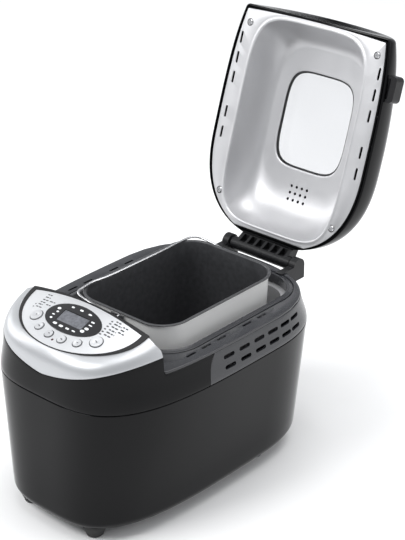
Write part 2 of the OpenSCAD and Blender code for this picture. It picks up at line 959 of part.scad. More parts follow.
// Half width of the lid's rim at y
function lid_half_w(y) =
    let (n = y < mid_y ? 3.2 : 2.5,
         b = y < mid_y ? lid_front_reach : lid_rear_reach)
    lid_half * pow(1 - pow(min(abs(y - mid_y) / b, 1), n), 1 / n);

// Height of the lid's crown at y
function lid_h(y) = y < 30
    ? lid_crown - (lid_crown - lid_front_h)
        * pow((y - 30) / (lid_front - 30), 2)
    : lid_crown * sqrt(1 - pow((y - 30) / 158, 3));

function bow(x, y) =
    4 * pow(x / 116, 2) * max(0, 1 - (y - lid_front) / 60);

function lid_section(y, inset, floor_z) =
    let (w = lid_half_w(y) - inset, h = lid_h(y) - inset, count = 14,
         n = lookup(y, arch_n_at))
    concat([[w, y + bow(w, y), floor_z]],
        [for (i = [0:2 * count - 1])
            let (x = w * sin(90 - 90 * (i + 0.5) / count))
            [x, y + bow(x, y), rim_z + arch_h(x, w, h, n)]],
        [[-w, y + bow(w, y), floor_z]]);

lid_stations = [0, 0.05, 0.12, 0.22, 0.34, 0.46, 0.58, 0.7, 0.8, 0.88,
    0.94, 0.975, 1];

module lid_form(inset, floor_z) {
    y0 = lid_front + inset;
    y1 = lid_rear - inset;
    section_solid([for (s = lid_stations)
        lid_section(y0 + (y1 - y0) * s, inset, floor_z)]);
}

pane_reach = 8;                  // the outer pane is larger than the inner view

module window_2d(g) {
    polygon(flat(oval_ring(55 + g, 65 + g, 4.5, 23, 0)));
}

// Posts that the liner's screws go into
module lid_posts(d) {
    for (s = [-1, 1]) {
        translate([s * 103.5, -88.2, rim_z]) cylinder(d = d, h = 28);
        translate([s * 95, 139.7, rim_z]) cylinder(d = d, h = 25);
    }
}

module lid_shell() {
    color("#141416") opened() difference() {
        union() {
            difference() {
                lid_form(0, rim_z);
                lid_form(lid_wall, rim_z - 5);
                translate([0, 0, 260]) linear_extrude(60)
                    window_2d(pane_reach);
            }
            translate([0, 0, rim_z]) linear_extrude(2.5) difference() {
                lid_rim_2d(1.5);
                lid_rim_2d(9);
            }
            lid_posts(8);
        }
        translate([0, 0, -15]) lid_posts(4);
    }
}

module lid_outer_glass() {
    color("#9fb0b8", 0.5) opened() intersection() {
        difference() {
            lid_form(0.4, rim_z);
            lid_form(lid_wall - 0.2, rim_z - 5);
        }
        translate([0, 0, 260]) linear_extrude(60)
            window_2d(pane_reach - gap);
    }
}

module lid_rim_2d(g) {
    length = lid_rear - lid_front - 2 * g;
    ys = [for (i = [0:24])
        lid_front + g + length * (1 - cos(180 * i / 24)) / 2];
    right = [for (y = ys) [lid_half_w(y) - g, y + bow(lid_half_w(y) - g, y)]];
    polygon(concat(right,
        [for (i = [len(right) - 1:-1:0]) [-right[i][0], right[i][1]]]));
}

// Ring of the pressed recess, s from 0 at its mouth to 1 at its ceiling
function recess_ring(s, level, g) =
    let (a = 92.5 - 22 * s + g, front = 136 - 30 * s + g,
         rear = 136 - 58 * pow(s, 1.5) + g, n = 5 - s)
    [for (i = [0:outline_n - 1])
        let (t = 360 * i / outline_n, b = sin(t) < 0 ? front : rear,
             r = pow(pow(abs(cos(t)) / a, n) + pow(abs(sin(t)) / b, n), -1 / n))
        [r * cos(t), 34 + r * sin(t), level]];

module lid_liner() {
    t = flange_t;
    steps = [[0, 0], [0.08, 0.06], [0.3, 0.5], [0.55, 0.86], [0.75, 0.97],
        [1, 1]];
    color("#c3c5c7") opened() difference() {
        union() {
            translate([0, 0, rim_z - t]) linear_extrude(t) difference() {
                lid_rim_2d(6.5);
                polygon(flat(recess_ring(0, 0, -0.2)));
            }
            ring_solid(concat(
                [for (s = steps)
                    recess_ring(s[0], rim_z + recess_depth * s[1], t)],
                [oval_ring(55, 65, 4.5, 23, ceiling_z)],
                [oval_ring(55, 65, 4.5, 23, ceiling_z - t)],
                [for (i = [len(steps) - 1:-1:0])
                    recess_ring(steps[i][0],
                        rim_z - t + recess_depth * steps[i][1], 0)]));
        }
        translate([0, 0, rim_z]) linear_extrude(6, center = true)
            side_slots(112.5);
        at_lid_screws() cylinder(d = 4.2, h = 10, center = true);
        for (r = [0:2], k = [0:3])
            translate([-13 + 26 * k / 3, 112 + 9 * r, ceiling_z])
                cylinder(d = 4, h = 30, center = true, $fn = 16);
    }
}

module at_lid_screws() {
    for (s = [-1, 1]) {
        translate([s * 103.5, -88.2, rim_z]) children();
        translate([s * 95, 139.7, rim_z]) children();
    }
}

module lid_screws() {
    color("#b5b7ba") opened() at_lid_screws() {
        translate([0, 0, -flange_t - 1.15]) difference() {
            cylinder(d1 = 6.4, d2 = 8, h = 1.05);
            translate([0, 0, -eps]) cylinder(d = 2.6, h = 0.7, $fn = 6);
        }
        translate([0, 0, -flange_t - 0.3]) cylinder(d = 3.8, h = 11);
    }
}

module lid_inner_glass() {
    color("#a9b8be", 0.5) opened() translate([0, 0, ceiling_z + 0.2])
        linear_extrude(2) window_2d(3.5);
}

module window_gasket() {
    color("#232427") opened() translate([0, 0, ceiling_z + 2.4])
        linear_extrude(1.8) difference() {
            window_2d(3.5);
            window_2d(0.4);
        }
}

module lid_handle() {
    color("#131314") opened() difference() {
        translate([0, 0, rim_z + 3]) linear_extrude(17) {
            translate([112, -68]) square([20, 34]);
            translate([112, -62]) square([26, 22]);
            for (y = [-62, -40]) translate([132, y]) circle(6);
        }
        lid_form(-0.3, rim_z - 5);
        translate([126, -51, rim_z + 1]) rotate([90, 0, 0])
            cylinder(d = 8, h = 26, center = true);
    }
}

// ---- hinge ------------------------------------------------------------

pin_d = 5;
ear_x = 52;
ear_t = 10;
pin_x = ear_x + ear_t / 2 - 7.7;  // middle of a pin, blind inside its ear

module hinge_arm() {
    color("#141416") opened() difference() {
        union() {
            translate([0, hinge_y, hinge_z]) rotate([0, 90, 0])
                cylinder(d = 18, h = 99, center = true);
            rotate([90, 0, 90]) linear_extrude(86, center = true)
                polygon([[lid_rear + gap, rim_z + 0.8],
                    [lid_rear + gap, rim_z + 13.5],
                    [hinge_y - 4, hinge_z + 14], [hinge_y + 5, hinge_z + 7],
                    [hinge_y, hinge_z - 5], [hinge_y - 6, hinge_z - 6]]);
        }
        for (s = [-1, 1]) translate([s * 45, hinge_y, hinge_z])
            rotate([0, 90, 0]) cylinder(d = pin_d + 0.1, h = 24, center = true);
        for (x = [-33:13.2:33]) translate([x - 4.6, lid_rear + 1.6, hinge_z - 12])
            cube([9.2, 9, 18.5]);
    }
}

module hinge_brackets() {
    levels = [seam_z, seam_z + 20, deck_z];
    color("#1b1b1d") for (s = [-1, 1]) difference() {
        translate([s * (ear_x + ear_t / 2), 0, 0]) {
            translate([0, hinge_y, hinge_z]) rotate([0, 90, 0])
                cylinder(d = 22, h = ear_t, center = true);
            translate([-ear_t / 2, 168, 204])
                cube([ear_t, hinge_y + 11 - 168, hinge_z - 204]);
            translate([-ear_t / 2, 165, deck_z - 0.6])
                cube([ear_t, 30, 2.2]);
        }
        translate([0, 0, 0.1])
            ring_stack([for (z = levels) ring(z, -0.1, z)]);
        translate([s * pin_x, hinge_y, hinge_z]) rotate([0, 90, 0])
            cylinder(d = pin_d, h = 20.4, center = true);
    }
}

module hinge_pins() {
    color("#a9abae") for (s = [-1, 1])
        translate([s * pin_x, hinge_y, hinge_z])
            rotate([0, 90, 0]) cylinder(d = pin_d, h = 20, center = true);
}

rubber_feet();
base_plate();
lower_housing();
upper_housing();
vent_grille_right();
vent_grille_left();
deck();
silver_bezel();
panel_frame();
control_plate();
display_lens();
lcd_module();
status_light();
control_board();
key_switches();
button_program();
button_weight();
button_time_up();
button_time_down();
button_crust();
button_start();
chamber_liner();
heating_element();
heater_bushes();
temperature_sensor();
thermal_fuse();
pan_seat();
chassis_frame();
chamber_spacers();
chassis_screws();
shaft_bushes();
motor_body();
motor_pulley();
motor_capacitor();
power_board();
cord_gland();
motor_belt();
cross_belt();
front_drive_shaft();
rear_drive_shaft();
hinge_brackets();
hinge_pins();
hinge_arm();
lid_shell();
lid_liner();
lid_inner_glass();
lid_outer_glass();
window_gasket();
lid_screws();
lid_handle();
bread_pan();
pan_foot();
bail_ears();
bail_handle();
front_pan_shaft();
rear_pan_shaft();
front_paddle();
rear_paddle();
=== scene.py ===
"""Two-paddle bread machine with its lid open, dressed for a studio picture.

Sizes are millimetres unless a name ends in _m. The row frame is the CAD's:
+Z up, the control panel faces -Y, the lid's hinge runs along X at the rear.
"""

import json
import math

import bmesh
import bpy
from mathutils import Matrix, Vector, noise


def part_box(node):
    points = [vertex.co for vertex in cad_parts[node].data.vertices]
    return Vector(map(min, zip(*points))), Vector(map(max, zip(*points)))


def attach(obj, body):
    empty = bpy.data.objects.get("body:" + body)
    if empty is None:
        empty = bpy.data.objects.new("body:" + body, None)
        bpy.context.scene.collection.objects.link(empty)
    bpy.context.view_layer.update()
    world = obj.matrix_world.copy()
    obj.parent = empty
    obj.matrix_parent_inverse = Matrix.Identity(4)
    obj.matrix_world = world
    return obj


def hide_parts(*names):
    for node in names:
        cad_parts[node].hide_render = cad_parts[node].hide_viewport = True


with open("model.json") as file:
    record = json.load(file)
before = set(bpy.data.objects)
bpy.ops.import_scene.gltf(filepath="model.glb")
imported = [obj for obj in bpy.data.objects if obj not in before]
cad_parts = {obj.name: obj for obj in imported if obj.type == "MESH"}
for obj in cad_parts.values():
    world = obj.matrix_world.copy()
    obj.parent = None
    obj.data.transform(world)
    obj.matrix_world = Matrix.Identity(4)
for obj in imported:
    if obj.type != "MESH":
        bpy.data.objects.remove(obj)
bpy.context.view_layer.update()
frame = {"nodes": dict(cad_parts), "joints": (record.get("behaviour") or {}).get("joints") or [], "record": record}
NODES = frame["nodes"]
RECORD = frame["record"]
MM = 0.001


def mm_box(node):
    """Lowest and highest corner of a CAD node, in millimetres."""
    low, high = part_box(node)
    return low / MM, high / MM


# ---- sizes read from the frame ----------------------------------------

LOWER = mm_box("lower_housing")
DECK = mm_box("deck")
PAN = mm_box("bread_pan")
JOINTS = {j["name"]: j for j in frame["joints"]}
HINGE = Vector(JOINTS["lid_hinge"]["pos_m"]) / MM
LID_OPEN = math.radians(-JOINTS["lid_hinge"]["range_deg"][0])

BODY_W = LOWER[1].x
FRONT_Y = LOWER[0].y
REAR_Y = LOWER[1].y
BOTTOM_Z = LOWER[0].z
SEAM_Z = LOWER[1].z + 0.8
DECK_Z = DECK[1].z - 1.2
RIM_Z = DECK_Z + 3.5

# ---- form of the body --------------------------------------------------

COLUMNS = 288
MID_Y = 60.0
FRONT_N = 3.5
REAR_N = 2.7
WALL = 2.6
BOTTOM_R = 15.0
TAPER = 21.8
SPLIT_Y = -118.0
HOUSING_TOP = DECK_Z - 3.3
EDGE_R = 0.9
CORD_HOLE_R = 8.3

# ---- control panel -----------------------------------------------------

PANEL_Y = -147.0
PANEL_Z = 262.0
PANEL_R = 500.0
TILT = math.radians(20)
KEY_TOP = 1.08
FRAME_A = 96.0
FRAME_B = 72.5
FRAME_V = 25.0
LIP_Z = 214.0
LIP_RISE = 29.0
LIP_X = 118.0

# ---- lid ---------------------------------------------------------------

LID_FRONT = -115.5
LID_REAR = 184.0
LID_CROWN = 64.0
LID_FRONT_H = 45.0
LID_HALF = 128.2
LID_FRONT_REACH = 262.5
LID_REAR_REACH = 127.5
LID_WALL = 2.5
RECESS = 47.0
CEILING_Z = RIM_Z + RECESS
WINDOW = (55.0, 65.0, 4.5, 23.0)
PANE_REACH = 8.0
SLOT_YS = (-66.3, -39.2, -12.2, 34.9, 62.9)
VENT_YS = (-18.0, 10.0, 37.5, 63.5, 88.0, 110.0)
VENT_ZS = (196.0, 209.0)

PAN_Y = (PAN[0].y + PAN[1].y) / 2
PAN_FLOOR = PAN[0].z
PAN_RIM = PAN[1].z
PAN_HALF_X = 72
PAN_HALF_Y = 102
PAN_CORNER = 30
PAN_FLARE = 5


# ---- camera and stage --------------------------------------------------

def make_camera():
    azimuth = math.radians(41.62)
    right = Vector((math.cos(azimuth), math.sin(azimuth), 0))
    back = Vector((0.595, -0.670, 0.4445)).normalized()
    up = back.cross(right).normalized()
    data = bpy.data.cameras.new("camera")
    data.lens = 105.46
    data.sensor_width = 36
    data.clip_end = 50
    camera = bpy.data.objects.new("camera", data)
    bpy.context.scene.collection.objects.link(camera)
    turn = Matrix((right, up, back)).transposed().to_4x4()
    camera.matrix_world = Matrix.Translation((1.1959, -1.2653, 1.1354)) @ turn
    bpy.context.scene.camera = camera


def area_light(name, place, aim, size, power, colour=(1, 1, 1)):
    data = bpy.data.lights.new(name, "AREA")
    data.shape = "RECTANGLE"
    data.size, data.size_y = size
    data.energy = power
    data.color = colour
    light = bpy.data.objects.new(name, data)
    light.location = place
    light.rotation_euler = (Vector(aim) - Vector(place)).to_track_quat("-Z", "Y").to_euler()
    bpy.context.scene.collection.objects.link(light)


def make_stage():
    world = bpy.data.worlds.new("studio")
    world.use_nodes = True
    world.node_tree.nodes["Background"].inputs["Color"].default_value = (0.95, 0.97, 1.0, 1)
    world.node_tree.nodes["Background"].inputs["Strength"].default_value = 0.55
    scene = bpy.context.scene
    scene.world = world
    scene.view_settings.view_transform = "Standard"
    mesh = bpy.data.meshes.new("floor")
    half = 12.0
    mesh.from_pydata([(-half, -half, 0), (half, -half, 0), (half, half, 0), (-half, half, 0)],
                     [], [(0, 1, 2, 3)])
    floor = bpy.data.objects.new("floor", mesh)
    scene.collection.objects.link(floor)
    floor.data.materials.append(finish("floor_paper", (0.93, 0.93, 0.93), 0.8, vary=0.01, grain=0.05,
                                       grain_scale=900))
    area_light("key", (-0.9, -2.0, 2.6), (0, 0, 0.1), (1.6, 1.2), 54)
    area_light("left_wall", (-2.6, -0.6, 1.4), (0, 0, 0.2), (1.8, 1.4), 24)
    area_light("top", (0.3, 0.6, 3.0), (0, 0, 0.2), (2.4, 2.4), 58)
    area_light("right_wall", (2.4, 1.6, 1.3), (0, 0, 0.2), (1.6, 1.4), 17)


# ---- materials ---------------------------------------------------------

def add_noise(tree, coords, scale, detail=3.0, stretch=(1, 1, 1)):
    mapping = tree.nodes.new("ShaderNodeMapping")
    mapping.inputs["Scale"].default_value = stretch
    tree.links.new(coords, mapping.inputs["Vector"])
    texture = tree.nodes.new("ShaderNodeTexNoise")
    texture.inputs["Scale"].default_value = scale
    texture.inputs["Detail"].default_value = detail
    tree.links.new(mapping.outputs["Vector"], texture.inputs["Vector"])
    return texture.outputs["Fac"]


def spread(tree, value, low, high):
    """Maps the middle of a noise onto low..high."""
    node = tree.nodes.new("ShaderNodeMapRange")
    node.inputs["From Min"].default_value = 0.3
    node.inputs["From Max"].default_value = 0.7
    node.inputs["To Min"].default_value = low
    node.inputs["To Max"].default_value = high
    tree.links.new(value, node.inputs["Value"])
    return node.outputs["Result"]


def tint(tree, value, dark, light):
    ramp = tree.nodes.new("ShaderNodeValToRGB")
    ramp.color_ramp.elements[0].position = 0.3
    ramp.color_ramp.elements[1].position = 0.7
    ramp.color_ramp.elements[0].color = (*dark, 1)
    ramp.color_ramp.elements[1].color = (*light, 1)
    tree.links.new(value, ramp.inputs["Fac"])
    return ramp.outputs["Color"]


def finish(name, colour, rough, metallic=0.0, coat=0.0, vary=0.06, rough_vary=0.15, cloud=9,
           grain=0.0, grain_scale=1200, stretch=(1, 1, 1), transmission=0.0, ior=1.5):
    """A surface with soft colour clouds, uneven polish and a fine grain."""
    material = bpy.data.materials.new(name)
    material.use_nodes = True
    tree = material.node_tree
    shader = tree.nodes["Principled BSDF"]
    coords = tree.nodes.new("ShaderNodeTexCoord").outputs["Object"]
    clouds = add_noise(tree, coords, cloud)
    dark = [c * (1 - vary) for c in colour]
    light = [min(1, c * (1 + vary)) for c in colour]
    tree.links.new(tint(tree, clouds, dark, light), shader.inputs["Base Color"])
    polish = add_noise(tree, coords, cloud * 5, 5.0, stretch)
    tree.links.new(spread(tree, polish, rough * (1 - rough_vary), min(1, rough * (1 + rough_vary))),
                   shader.inputs["Roughness"])
    shader.inputs["Metallic"].default_value = metallic
    shader.inputs["Coat Weight"].default_value = coat
    shader.inputs["Coat Roughness"].default_value = 0.04
    shader.inputs["Transmission Weight"].default_value = transmission
    shader.inputs["IOR"].default_value = ior
    if grain:
        bump = tree.nodes.new("ShaderNodeBump")
        bump.inputs["Strength"].default_value = grain
        bump.inputs["Distance"].default_value = 0.0002
        tree.links.new(add_noise(tree, coords, grain_scale, 4.0, stretch), bump.inputs["Height"])
        tree.links.new(bump.outputs["Normal"], shader.inputs["Normal"])
    return material


BRUSHED_X = (0.04, 1, 1)


def make_materials():
    """One material for each slot of the record, and a few for details."""
    return {
        "rubber": finish("rubber", (0.02, 0.02, 0.02), 0.75, grain=0.3, grain_scale=700),
        "black_gloss": finish("black_gloss", (0.004, 0.004, 0.0045), 0.09, cloud=5, ior=1.25,
                              rough_vary=0.3, grain=0.02, grain_scale=300),
        "black_matt": finish("black_matt", (0.009, 0.009, 0.010), 0.36, grain=0.22,
                             grain_scale=1500, ior=1.36),
        "grey_moulding": finish("grey_moulding", (0.025, 0.026, 0.030), 0.24, coat=0.1,
                                grain=0.06, grain_scale=1400),
        "silver_trim": finish("silver_trim", (0.50, 0.51, 0.525), 0.42, metallic=0.7, coat=0.05,
                              vary=0.012, rough_vary=0.04, grain=0.04, grain_scale=2600),
        "brushed_plate": finish("brushed_plate", (0.73, 0.74, 0.755), 0.36, metallic=0.7,
                                vary=0.03, grain=0.12, grain_scale=1600, stretch=BRUSHED_X),
        "display_black": finish("display_black", (0.006, 0.006, 0.007), 0.07, coat=0.8,
                                rough_vary=0.3),
        "display_cell": finish("display_cell", (0.13, 0.135, 0.15), 0.3, vary=0.3, cloud=260,
                               grain=0.1, grain_scale=1500),
        "signal_red": finish("signal_red", (0.05, 0.006, 0.006), 0.2, coat=0.4),
        "circuit_green": finish("circuit_green", (0.02, 0.12, 0.05), 0.4, vary=0.3, cloud=90,
                                grain=0.1),
        "switch_black": finish("switch_black", (0.03, 0.03, 0.03), 0.5, grain=0.2),
        "key_silver": finish("key_silver", (0.70, 0.71, 0.725), 0.34, metallic=0.7, coat=0.1,
                             vary=0.03, grain=0.04, grain_scale=2400),
        "liner_metal": finish("liner_metal", (0.58, 0.58, 0.592), 0.43, metallic=0.7, vary=0.04,
                              rough_vary=0.12, grain=0.07, grain_scale=2200),
        "heater_steel": finish("heater_steel", (0.09, 0.085, 0.08), 0.5, metallic=0.6, vary=0.3,
                               cloud=40, grain=0.2),
        "ceramic": finish("ceramic", (0.75, 0.72, 0.65), 0.6, grain=0.15, grain_scale=900),
        "brass": finish("brass", (0.60, 0.42, 0.18), 0.3, metallic=1.0, grain=0.08,
                        stretch=(1, 1, 8)),
        "steel": finish("steel", (0.62, 0.62, 0.63), 0.26, metallic=1.0, vary=0.05, grain=0.06,
                        stretch=(1, 1, 6)),
        "chassis_metal": finish("chassis_metal", (0.42, 0.43, 0.44), 0.42, metallic=0.8,
                                vary=0.12, cloud=60, grain=0.12),
        "pan_metal": finish("pan_metal", (0.88, 0.88, 0.87), 0.4, metallic=0.1, vary=0.04,
                            grain=0.06, grain_scale=2000),
        "paddle_coat": finish("paddle_coat", (0.035, 0.035, 0.037), 0.42, vary=0.2, cloud=120,
                              grain=0.2, grain_scale=900),
        "clear_glass": finish("clear_glass", (0.88, 0.883, 0.89), 0.05, transmission=1.0,
                              vary=0.01, ior=1.45),
        "pan_coat": finish("pan_coat", (0.055, 0.056, 0.06), 0.38, metallic=0.2, vary=0.18,
                           cloud=160, grain=0.18, grain_scale=1100),
        "print_grey": finish("print_grey", (0.035, 0.035, 0.04), 0.55, vary=0.2, cloud=300),
        "print_white": finish("print_white", (0.75, 0.77, 0.78), 0.5, vary=0.08, cloud=300),
    }


# ---- mesh building -----------------------------------------------------

def new_object(name, points, faces, sharp=35):
    mesh = bpy.data.meshes.new(name)
    mesh.from_pydata([[c * MM for c in p] for p in points], [], faces)
    tidy = bmesh.new()
    tidy.from_mesh(mesh)
    bmesh.ops.remove_doubles(tidy, verts=tidy.verts, dist=1e-7)
    bmesh.ops.recalc_face_normals(tidy, faces=tidy.faces)
    tidy.to_mesh(mesh)
    tidy.free()
    obj = bpy.data.objects.new(name, mesh)
    bpy.context.scene.collection.objects.link(obj)
    soften(obj, sharp)
    return obj


def soften(obj, sharp=35):
    for polygon in obj.data.polygons:
        polygon.use_smooth = True
    obj.data.set_sharp_from_angle(angle=math.radians(sharp))


def skin(rows, wrap_rows=False, wrap_columns=True, caps=False):
    """Points and quads of a net; caps closes an open net's first and last row."""
    count = len(rows[0])
    points = [p for row in rows for p in row]
    faces = []
    for i in range(len(rows) if wrap_rows else len(rows) - 1):
        k = (i + 1) % len(rows)
        for j in range(count if wrap_columns else count - 1):
            m = (j + 1) % count
            faces.append((i * count + j, i * count + m, k * count + m, k * count + j))
    if caps:
        faces.append(tuple(range(count)))
        faces.append(tuple((len(rows) - 1) * count + j for j in range(count)))
    return points, faces


def mirror_caps(rows, faces):
    """Closes both ends of a net whose rows mirror left to right, by cross strips."""
    count = len(rows[0])
    for start in (0, (len(rows) - 1) * count):
        for j in range(count // 2 - 1):
            faces.append((start + j, start + j + 1, start + count - 2 - j, start + count - 1 - j))
    return faces


def join(name, objects):
    """Joins meshes into the first one; their slots are kept."""
    with bpy.context.temp_override(active_object=objects[0], object=objects[0],
                                   selected_objects=objects,
                                   selected_editable_objects=objects):
        bpy.ops.object.join()
    objects[0].name = name
    objects[0].data.name = name
    return objects[0]


def apply_all(obj):
    """Bakes the object's modifiers into its mesh."""
    graph = bpy.context.evaluated_depsgraph_get()
    graph.update()
    mesh = bpy.data.meshes.new_from_object(obj.evaluated_get(graph))
    obj.modifiers.clear()
    old = obj.data
    obj.data = mesh
    mesh.name = obj.name
    bpy.data.meshes.remove(old)


def cut(obj, cutter, operation="DIFFERENCE", sharp=35):
    modifier = obj.modifiers.new("cut", "BOOLEAN")
    modifier.operation = operation
    modifier.solver = "EXACT"
    modifier.object = cutter
    apply_all(obj)
    bpy.data.objects.remove(cutter)
    soften(obj, sharp)
    return obj


def place(obj, body, slot, replaces=(), materials=None):
    """Paints a piece, hands it to a body and hides the CAD nodes it stands for."""
    if not obj.data.materials:
        obj.data.materials.append(MATERIALS[materials or slot])
    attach(obj, body)
    if replaces:
        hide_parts(*replaces)
    return obj


def open_lid(obj):
    """Turns a piece that was built closed about the hinge, into its open place."""
    pivot = HINGE * MM
    turn = Matrix.Translation(pivot) @ Matrix.Rotation(-LID_OPEN, 4, "X") @ Matrix.Translation(-pivot)
    obj.data.transform(turn)
    obj.data.update()
    return obj


def round_bar(length, width, steps=8):
    """Outline of a bar with round ends, along its first axis."""
    r = width / 2
    half = length / 2 - r
    points = []
    for centre, start in ((half, -90), (-half, 90)):
        for i in range(steps + 1):
            t = math.radians(start + 180 * i / steps)
            points.append((centre + r * math.cos(t), r * math.sin(t)))
    return points


def prisms(name, outlines, to_point, low, high):
    """Closed prisms over flat outlines; to_point(a, b, height) gives a point."""
    points, faces = [], []
    for outline in outlines:
        base = len(points)
        count = len(outline)
        points += [to_point(a, b, low) for a, b in outline]
        points += [to_point(a, b, high) for a, b in outline]
        faces.append(tuple(base + j for j in range(count)))
        faces.append(tuple(base + count + j for j in range(count)))
        for j in range(count):
            k = (j + 1) % count
            faces.append((base + j, base + k, base + count + k, base + count + j))
    return new_object(name, points, faces)


# ---- outlines ----------------------------------------------------------

def ease(z, scale):
    return 1 - math.exp(-(max(0.0, z - SEAM_Z) / scale) ** 1.7)


def half_w(z):
    return BODY_W - TAPER * (1 - min(z, SEAM_Z) / SEAM_Z) - 7.9 * ease(z, 28)


def front_reach(z):
    return MID_Y - FRONT_Y - 5.5 * ease(z, 40)


def rear_reach(z):
    return REAR_Y - MID_Y - 4 * (1 - min(z, SEAM_Z) / SEAM_Z) - 15 * ease(z, 30)


def super_r(t, a, b, n):
    return (abs(math.cos(t) / a) ** n + abs(math.sin(t) / b) ** n) ** (-1 / n)


def outline_at(z, inset, t):
    """Point of the body's outline in direction t."""
    rear = math.sin(t) >= 0
    reach = (rear_reach(z) if rear else front_reach(z)) - inset
    r = super_r(t, half_w(z) - inset, reach, REAR_N if rear else FRONT_N)
    return r * math.cos(t), MID_Y + r * math.sin(t)


def turns(count=COLUMNS):
    return [2 * math.pi * i / count for i in range(count)]


def body_row(z, inset, level):
    return [(*outline_at(z, inset, t), level) for t in turns()]


def side_x(y, z, inset=0.0):
    """Half width of the body at y."""
    rear = y > MID_Y
    reach = (rear_reach(z) if rear else front_reach(z)) - inset
    n = REAR_N if rear else FRONT_N
    return (half_w(z) - inset) * max(0.0, 1 - (abs(y - MID_Y) / reach) ** n) ** (1 / n)


def front_y(x, z):
    return MID_Y - front_reach(z) * (1 - min(abs(x) / half_w(z), 1) ** FRONT_N) ** (1 / FRONT_N)


def quarter(steps):
    return [math.pi / 2 * i / steps for i in range(steps + 1)]


def rounded_row(hx, y0, y1, r, level, steps=18):
    """Rounded rectangle as a ring of points, straight sides divided too."""
    corners = [(hx - r, y1 - r, 0), (-hx + r, y1 - r, 90), (-hx + r, y0 + r, 180), (hx - r, y0 + r, 270)]
    ring = []
    for k, (x, y, start) in enumerate(corners):
        arc = [(x + r * math.cos(math.radians(start) + a), y + r * math.sin(math.radians(start) + a), level)
               for a in quarter(steps)]
        ring += arc
        nx, ny, nstart = corners[(k + 1) % 4]
        turn = math.radians(nstart)
        end = (nx + r * math.cos(turn), ny + r * math.sin(turn))
        for i in range(1, 8):
            w = i / 8
            ring.append((arc[-1][0] + (end[0] - arc[-1][0]) * w,
                         arc[-1][1] + (end[1] - arc[-1][1]) * w, level))
    return ring


# ---- housings ----------------------------------------------------------

def lower_housing():
    rows = []
    for t in quarter(10):
        level = BOTTOM_Z + BOTTOM_R * (1 - math.cos(t))
        rows.append(body_row(level, BOTTOM_R * (1 - math.sin(t)), level))
    top = SEAM_Z - 0.8
    for k in range(1, 9):
        level = BOTTOM_Z + BOTTOM_R + (top - 1.6 - BOTTOM_Z - BOTTOM_R) * k / 8
        rows.append(body_row(level, 0, level))
    for t in quarter(4):
        level = top - EDGE_R + EDGE_R * math.sin(t)
        rows.append(body_row(level, EDGE_R * (1 - math.cos(t)), level))
    rows.append(body_row(top, WALL, top))
    for level in (150, 100, 50):
        rows.append(body_row(level, WALL, level))
    inner_r = BOTTOM_R - WALL
    for t in reversed(quarter(5)):
        level = BOTTOM_Z + WALL + inner_r * (1 - math.cos(t))
        rows.append(body_row(level, WALL + inner_r * (1 - math.sin(t)), level))
    points, faces = skin(rows, wrap_rows=True)
    shell = new_object("lower_shell", points, faces)
    gland = mm_box("cord_gland")
    middle = (gland[0] + gland[1]) / 2
    hole = [(CORD_HOLE_R * math.cos(t), CORD_HOLE_R * math.sin(t)) for t in turns(40)]
    cut(shell, prisms("hole", [hole], lambda a, b, h: (middle.x + a, h, middle.z + b), 150, 230))
    place(shell, "housing", "black_gloss", ["lower_housing"])


def lip_at(x):
    return LIP_Z + LIP_RISE * (abs(x) / LIP_X) ** 1.35


def wall_profile(column, low, top):
    """Closed section of a wall: up the outside, over a round edge, down the inside."""
    section = []
    for t in quarter(3):
        inset = EDGE_R * (1 - math.sin(t))
        level = low + EDGE_R * (1 - math.cos(t))
        section.append((*column(level, inset), level))
    knots = 9
    for k in range(1, knots):
        level = low + EDGE_R + (top - low - 2 * EDGE_R) * k / knots
        section.append((*column(level, 0), level))
    for t in quarter(3):
        inset = EDGE_R * (1 - math.cos(t))
        level = top - EDGE_R * (1 - math.sin(t))
        section.append((*column(level, inset), level))
    for level in (top, (top + low) / 2, low):
        section.append((*column(level, WALL), level))
    return section


def wall_strip(name, columns):
    rows = [wall_profile(*c) for c in columns]
    points, faces = skin(rows, caps=True)
    return new_object(name, points, faces)


def front_column(s):
    """Column of the panel's front wall, s from -1 (left end) to 1 (right end)."""
    def column(level, inset):
        end = math.atan2(SPLIT_Y - MID_Y, side_x(SPLIT_Y, level, inset))
        t = -math.pi / 2 + s * (end + math.pi / 2)
        return outline_at(level, inset, t)
    return column


def y_column(side, y_of):
    def column(level, inset):
        y = y_of(level)
        return side * side_x(y, level, inset), y
    return column


def vent_front(level):
    """Front edge of the vent grille at a height: an arc that leans back."""
    s = min(1.0, max(0.0, (level - SEAM_Z + 1) / (DECK_Z - SEAM_Z + 1)))
    return -54 + 22 * (1 - math.sqrt(1 - s * s))


VENT_REAR = 158.0
GAP = 0.4


def rear_column(s):
    def column(level, inset):
        y = VENT_REAR + GAP
        end = math.atan2(y - MID_Y, side_x(y, level, inset))
        t = math.pi / 2 - s * (math.pi / 2 - end)
        return outline_at(level, inset, t)
    return column


def upper_housing():
    low = SEAM_Z
    steps = 120
    parts = []
    front = []
    for i in range(steps + 1):
        s = -1 + 2 * i / steps
        x = front_column(s)(LIP_Z + 10, 0)[0]
        front.append((front_column(s), low, lip_at(x)))
    parts.append(wall_strip("upper_front", front))
    for side in (-1, 1):
        strip = []
        for i in range(13):
            w = i / 12
            strip.append((y_column(side, lambda z, w=w: SPLIT_Y + 0.02 + (vent_front(z) - GAP - SPLIT_Y) * w),
                          low, HOUSING_TOP))
        parts.append(wall_strip("upper_side", strip))
    rear = [(rear_column(-1 + i / 40), low, HOUSING_TOP) for i in range(81)]
    parts.append(wall_strip("upper_rear", rear))
    place(join("upper_shell", parts), "housing", "black_gloss", ["upper_housing"])


